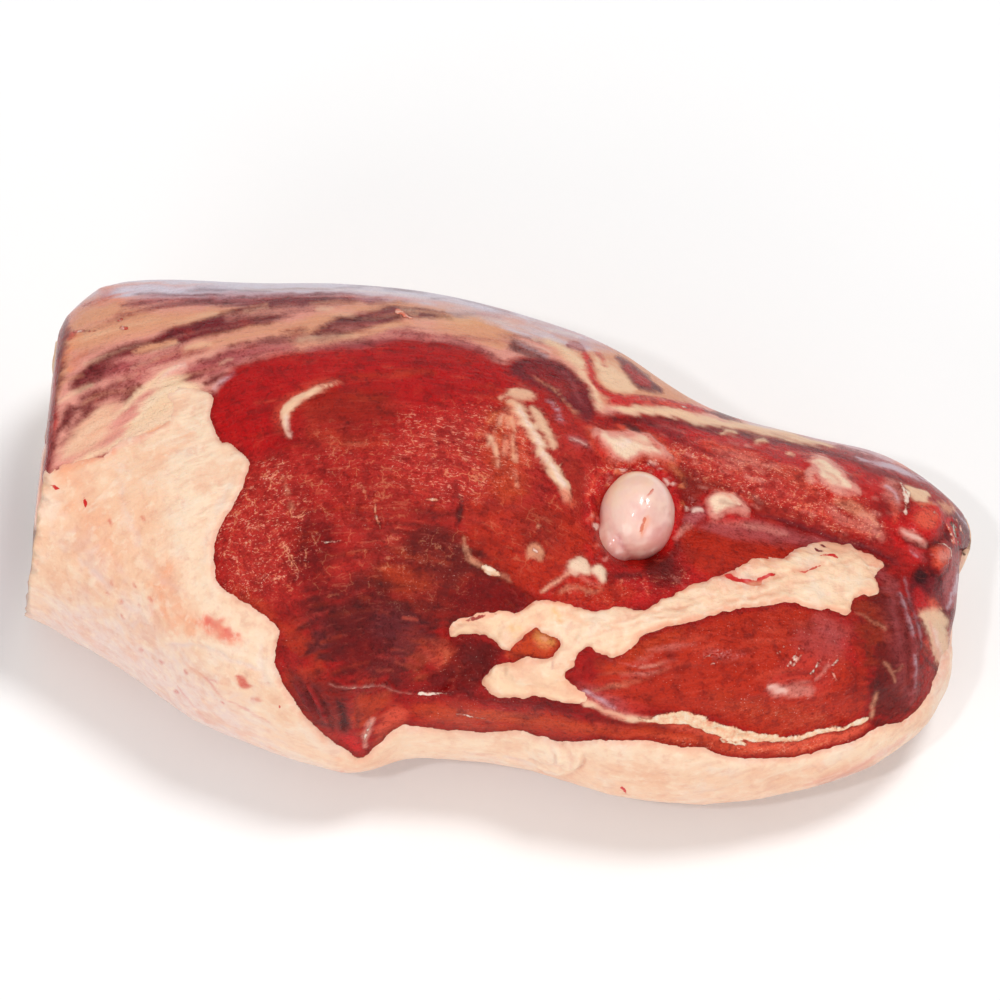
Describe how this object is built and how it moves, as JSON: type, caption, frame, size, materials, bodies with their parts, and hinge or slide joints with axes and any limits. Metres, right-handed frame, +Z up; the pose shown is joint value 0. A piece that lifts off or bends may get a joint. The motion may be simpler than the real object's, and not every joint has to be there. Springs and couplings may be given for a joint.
{
  "type": "raw leg of lamb",
  "caption": "Raw bone-in leg of lamb, shank cut off, lying on its fat side with the lean inner face and the ball of the thigh bone showing.",
  "frame": {"origin": "on the resting surface, under the middle of the leg's bounding box", "axes": "+X from the sawn knee end to the rump end, +Y away from the side that the cut face leans to, +Z up"},
  "size_m": [0.3098, 0.1796, 0.112],
  "materials": {
    "meat": "wet raw lean meat, deep red, glossy",
    "fat": "smooth waxy cream fat with a soft sheen",
    "seam_fat": "soft lumpy cream fat with a soft sheen",
    "bone": "glossy pearl-pink cartilage over bone"
  },
  "bodies": {
    "root": {"meat": "meat", "fat_cover": "fat", "seam_fat": "seam_fat", "femur": "bone"}
  },
  "joints": []
}
